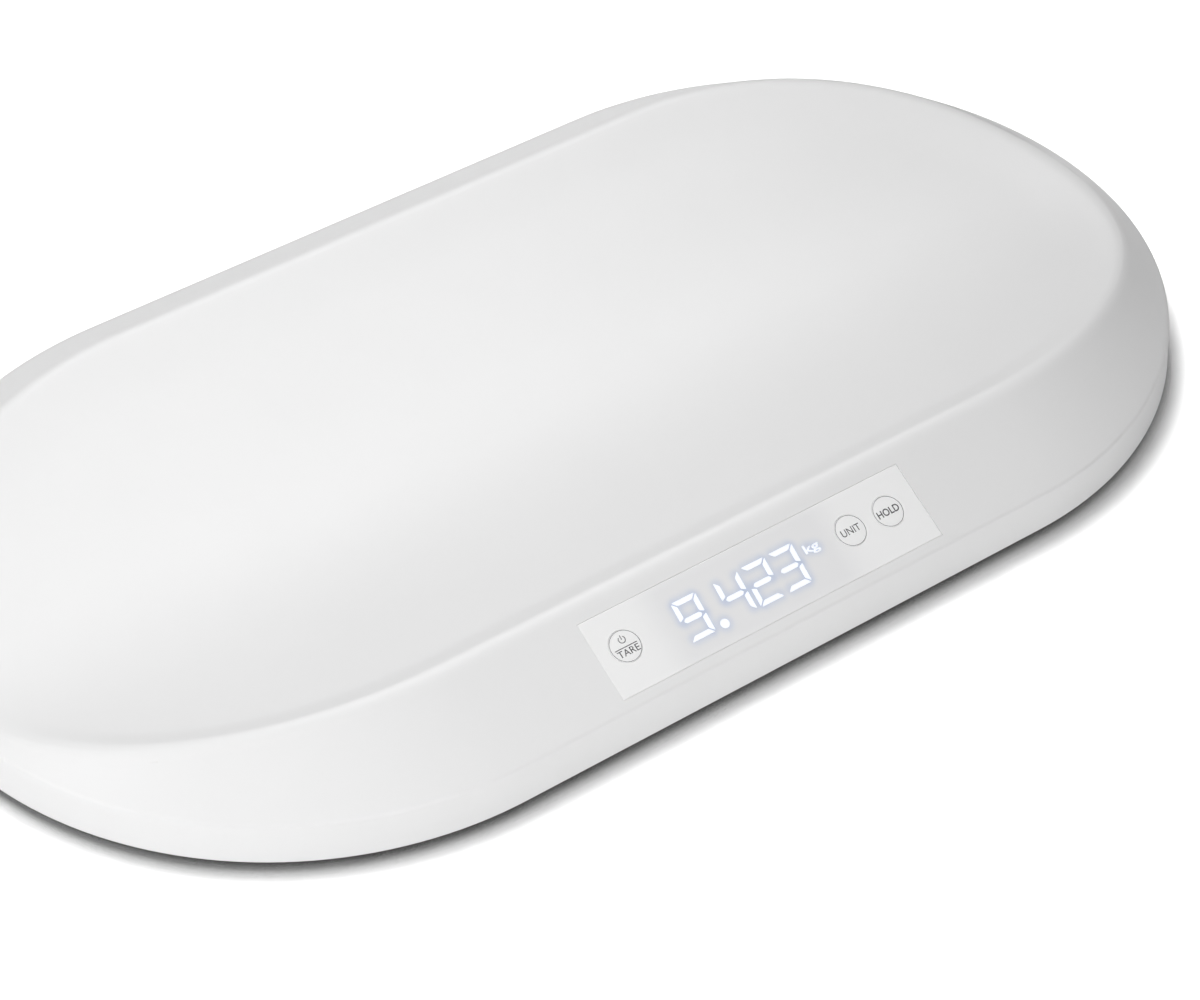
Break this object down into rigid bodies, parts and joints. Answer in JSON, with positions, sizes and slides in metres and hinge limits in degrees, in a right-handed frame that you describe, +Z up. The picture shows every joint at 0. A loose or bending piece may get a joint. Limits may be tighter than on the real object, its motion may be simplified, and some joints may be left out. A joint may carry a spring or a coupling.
{
  "type": "digital baby weighing scale",
  "caption": "Low white baby scale: a long round-ended body with a trough-shaped tray, a lit readout and push keys in its sloping front flank, on sprung weighing feet.",
  "frame": {"origin": "on the table, under the middle of the body", "axes": "+X along the body to the reader's right, -Y to the front where the readout is, +Z up"},
  "size_m": [0.546, 0.3052, 0.0442],
  "materials": {
    "shell_white": "satin moulded ABS",
    "panel_white": "milky acrylic, satin",
    "key_white": "milky acrylic, satin",
    "foam_tape": "black foam tape",
    "display_black": "matt moulded reflector",
    "lit_segment": "lit diffuser",
    "board_green": "solder-masked glass epoxy",
    "chip_black": "moulded epoxy",
    "socket_white": "moulded nylon",
    "ribbon_grey": "PVC ribbon",
    "wire_grey": "PVC insulation",
    "wire_red": "PVC insulation",
    "switch_black": "moulded nylon",
    "cover_white": "fine spark-eroded texture",
    "foot_rubber": "matt rubber",
    "cell_steel": "stamped and nickel plated",
    "screw_steel": "zinc plated",
    "spring_steel": "nickel plated",
    "cell_sleeve": "shrink sleeve"
  },
  "bodies": {
    "scale_body": {"top_shell": "shell_white", "display_panel": "panel_white", "panel_tape": "foam_tape", "led_module": "display_black", "led_segments": "lit_segment", "display_board": "board_green", "display_screws": "screw_steel", "ribbon_cable": "ribbon_grey", "ribbon_sockets": "socket_white", "main_board": "board_green", "main_board_chips": "chip_black", "wire_sockets": "socket_white", "main_board_screws": "screw_steel", "bottom_cover": "cover_white", "cover_screws": "screw_steel", "battery_springs": "spring_steel", "battery_plates": "spring_steel", "battery_wires": "wire_red", "load_cell_screws": "screw_steel", "switch_tare": "switch_black", "switch_unit": "switch_black", "switch_hold": "switch_black", "battery_cell_1": "cell_sleeve", "battery_cell_2": "cell_sleeve", "battery_cell_3": "cell_sleeve", "battery_cell_4": "cell_sleeve", "load_cell_front_left": "cell_steel", "wire_front_left": "wire_grey", "load_cell_front_right": "cell_steel", "wire_front_right": "wire_grey", "load_cell_rear_left": "cell_steel", "wire_rear_left": "wire_grey", "load_cell_rear_right": "cell_steel", "wire_rear_right": "wire_grey"},
    "tare_key": {"key_tare": "key_white", "plunger_tare": "switch_black"},
    "unit_key": {"key_unit": "key_white", "plunger_unit": "switch_black"},
    "hold_key": {"key_hold": "key_white", "plunger_hold": "switch_black"},
    "battery_lid": {"battery_door": "cover_white"},
    "foot_front_left": {"foot_cup_front_left": "cover_white", "foot_pad_front_left": "foot_rubber"},
    "foot_front_right": {"foot_cup_front_right": "cover_white", "foot_pad_front_right": "foot_rubber"},
    "foot_rear_left": {"foot_cup_rear_left": "cover_white", "foot_pad_rear_left": "foot_rubber"},
    "foot_rear_right": {"foot_cup_rear_right": "cover_white", "foot_pad_rear_right": "foot_rubber"}
  },
  "joints": [
    {"name": "tare_press", "type": "slide", "parent": "scale_body", "child": "tare_key", "axis": [0, 0.4648, -0.8854], "range_m": [0, 0.0003], "stiffness_N_per_m": 3000},
    {"name": "unit_press", "type": "slide", "parent": "scale_body", "child": "unit_key", "axis": [0, 0.4648, -0.8854], "range_m": [0, 0.0003], "stiffness_N_per_m": 3000},
    {"name": "hold_press", "type": "slide", "parent": "scale_body", "child": "hold_key", "axis": [0, 0.4648, -0.8854], "range_m": [0, 0.0003], "stiffness_N_per_m": 3000},
    {"name": "battery_door_hinge", "type": "hinge", "parent": "scale_body", "child": "battery_lid", "pos_m": [0, 0.0576, 0.0074], "axis": [-1, 0, 0], "range_deg": [0, 95]},
    {"name": "foot_give_front_left", "type": "slide", "parent": "scale_body", "child": "foot_front_left", "axis": [0, 0, 1], "range_m": [0, 0.0004], "stiffness_N_per_m": 100000, "deforming": ["load_cell_front_left"]},
    {"name": "foot_give_front_right", "type": "slide", "parent": "scale_body", "child": "foot_front_right", "axis": [0, 0, 1], "range_m": [0, 0.0004], "stiffness_N_per_m": 100000, "deforming": ["load_cell_front_right"]},
    {"name": "foot_give_rear_left", "type": "slide", "parent": "scale_body", "child": "foot_rear_left", "axis": [0, 0, 1], "range_m": [0, 0.0004], "stiffness_N_per_m": 100000, "deforming": ["load_cell_rear_left"]},
    {"name": "foot_give_rear_right", "type": "slide", "parent": "scale_body", "child": "foot_rear_right", "axis": [0, 0, 1], "range_m": [0, 0.0004], "stiffness_N_per_m": 100000, "deforming": ["load_cell_rear_right"]}
  ]
}
